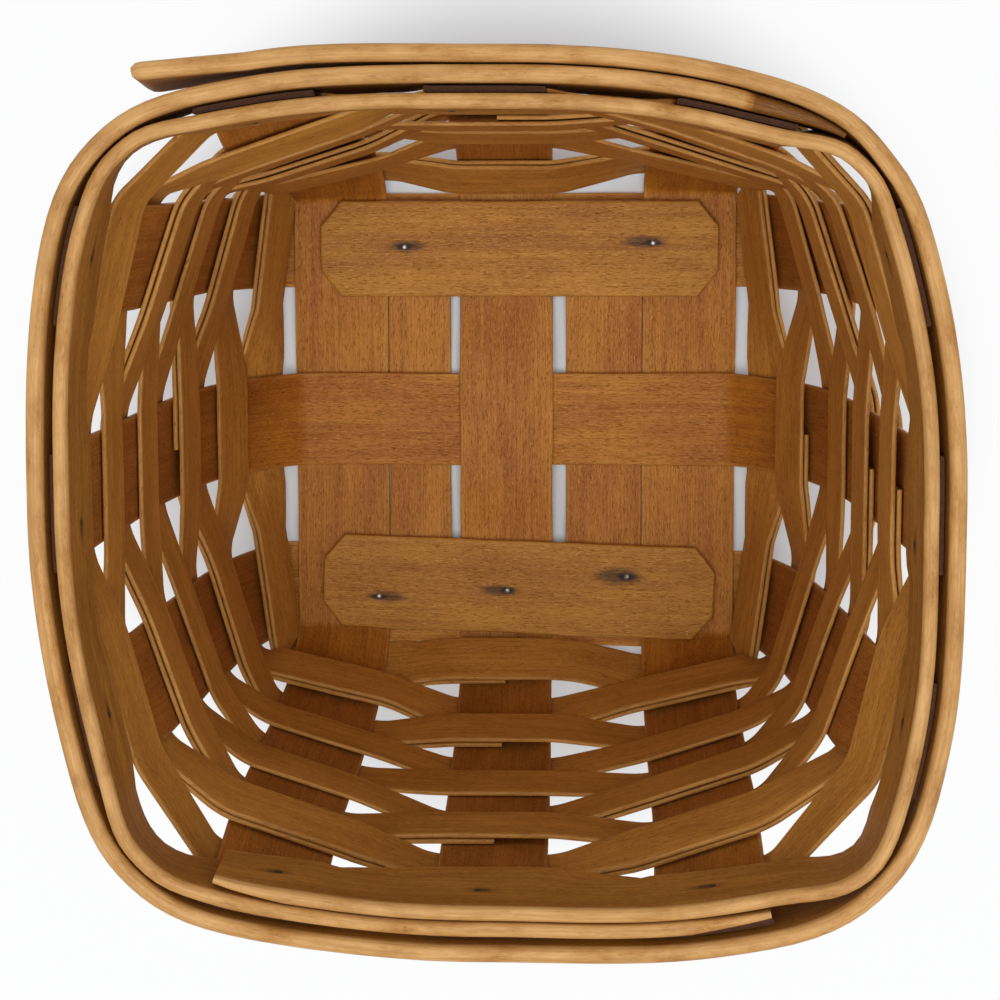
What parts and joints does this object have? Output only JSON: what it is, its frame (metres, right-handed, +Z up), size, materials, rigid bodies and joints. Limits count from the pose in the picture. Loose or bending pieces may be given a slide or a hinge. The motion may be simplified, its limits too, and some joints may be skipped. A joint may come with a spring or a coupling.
{
  "type": "spoon basket",
  "caption": "Square splint-woven basket that holds spoons upright: flat interlaced base with nailed braces, walls of overlapped woven rows and a nailed, lapped rim.",
  "frame": {"origin": "on the surface the basket stands on, under the middle of its outer box", "axes": "+Z up through the mouth; +X to the basket's right and +Y to its back, where the rim's free tail lies"},
  "size_m": [0.1472, 0.1458, 0.1367],
  "materials": {
    "upright_wood": "stained splint, satin",
    "base_wood": "stained splint, satin",
    "brace_wood": "stained board, satin",
    "weaver_wood": "stained splint, satin",
    "rim_wood": "stained bent band, worn lighter on top",
    "nail_steel": "small wire nails, dulled"
  },
  "bodies": {
    "root": {"upright_left": "upright_wood", "upright_middle": "upright_wood", "upright_right": "upright_wood", "cross_upright_front": "upright_wood", "cross_upright_middle": "upright_wood", "cross_upright_back": "upright_wood", "base_filler_left": "base_wood", "base_filler_right": "base_wood", "base_brace_back": "brace_wood", "base_brace_front": "brace_wood", "weaver_row_1": "weaver_wood", "weaver_row_2": "weaver_wood", "weaver_row_3": "weaver_wood", "weaver_row_4": "weaver_wood", "weaver_row_5": "weaver_wood", "weaver_row_6": "weaver_wood", "weaver_row_7": "weaver_wood", "weaver_row_8": "weaver_wood", "weaver_row_9": "weaver_wood", "rim_band_inner": "rim_wood", "rim_band_outer": "rim_wood", "rim_nail_front_middle": "nail_steel", "rim_nail_front_right": "nail_steel", "rim_nail_right_front": "nail_steel", "rim_nail_right_middle": "nail_steel", "rim_nail_right_back": "nail_steel", "rim_nail_back_right": "nail_steel", "rim_nail_back_middle": "nail_steel", "rim_nail_back_left": "nail_steel", "rim_nail_left_back": "nail_steel", "rim_nail_left_middle": "nail_steel", "rim_nail_left_front": "nail_steel", "rim_nail_front_left": "nail_steel", "brace_nail_back_left": "nail_steel", "brace_nail_back_right": "nail_steel", "brace_nail_front_left": "nail_steel", "brace_nail_front_middle": "nail_steel", "brace_nail_front_right": "nail_steel"}
  },
  "joints": []
}
